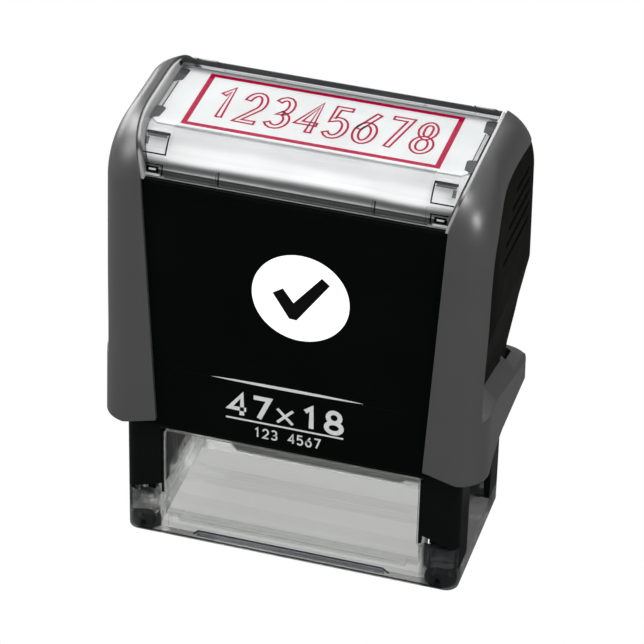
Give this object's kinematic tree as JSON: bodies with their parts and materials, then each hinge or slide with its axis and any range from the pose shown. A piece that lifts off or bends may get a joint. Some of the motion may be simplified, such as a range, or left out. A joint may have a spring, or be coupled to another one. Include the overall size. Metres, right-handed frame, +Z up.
{
  "type": "self inking stamp",
  "caption": "Spring-loaded self-inking stamp: a sliding housing over a clear base turns an inked text plate half a turn and presses it down.",
  "frame": {"origin": "centre of the footprint, on the table plane", "axes": "+Z up, +X to the right of the long side, the front face looks along -Y"},
  "size_m": [0.0694, 0.035, 0.084],
  "materials": {
    "clear_base": "gloss",
    "foot_rubber": "satin",
    "frame_black": "fine satin",
    "tray_grey": "satin",
    "felt": "matte",
    "spring_steel": "satin",
    "shell_black": "satin gloss",
    "side_grey": "satin",
    "grip_black": "matte",
    "holder_clear": "frosted",
    "badge_white": "gloss",
    "cover_clear": "gloss",
    "card_paper": "matte",
    "carrier_plastic": "satin",
    "pin_steel": "satin",
    "cushion_foam": "matte",
    "text_rubber": "matte"
  },
  "bodies": {
    "base": {"base_frame": "clear_base", "foot_plugs": "foot_rubber", "inner_frame": "frame_black", "pad_tray": "tray_grey", "ink_pad": "felt", "spring_left": "spring_steel", "spring_right": "spring_steel"},
    "housing": {"housing_shell": "shell_black", "side_frame_left": "side_grey", "side_frame_right": "side_grey", "side_grip_left": "grip_black", "side_grip_right": "grip_black", "card_holder": "holder_clear", "badge_disc": "badge_white"},
    "cover": {"index_cover": "cover_clear", "index_card": "card_paper"},
    "die": {"die_carrier": "carrier_plastic", "axle_pins": "pin_steel", "follower_pins": "pin_steel", "cushion": "cushion_foam", "text_plate": "text_rubber"}
  },
  "joints": [
    {"name": "press", "type": "slide", "parent": "base", "child": "housing", "axis": [0, 0, -1], "range_m": [0, 0.022], "stiffness_N_per_m": 350, "springref_m": -0.006, "deforming": ["spring_left", "spring_right"]},
    {"name": "die_turn", "type": "hinge", "parent": "housing", "child": "die", "pos_m": [0, 0, 0.028], "axis": [1, 0, 0], "range_deg": [0, 180.5]},
    {"name": "cover_lift", "type": "slide", "parent": "housing", "child": "cover", "axis": [0, 0, 1], "range_m": [0, 0.02]}
  ],
  "couplings": [
    {"joint": "die_turn", "follows": "press", "rad_per_m": 142.8}
  ]
}
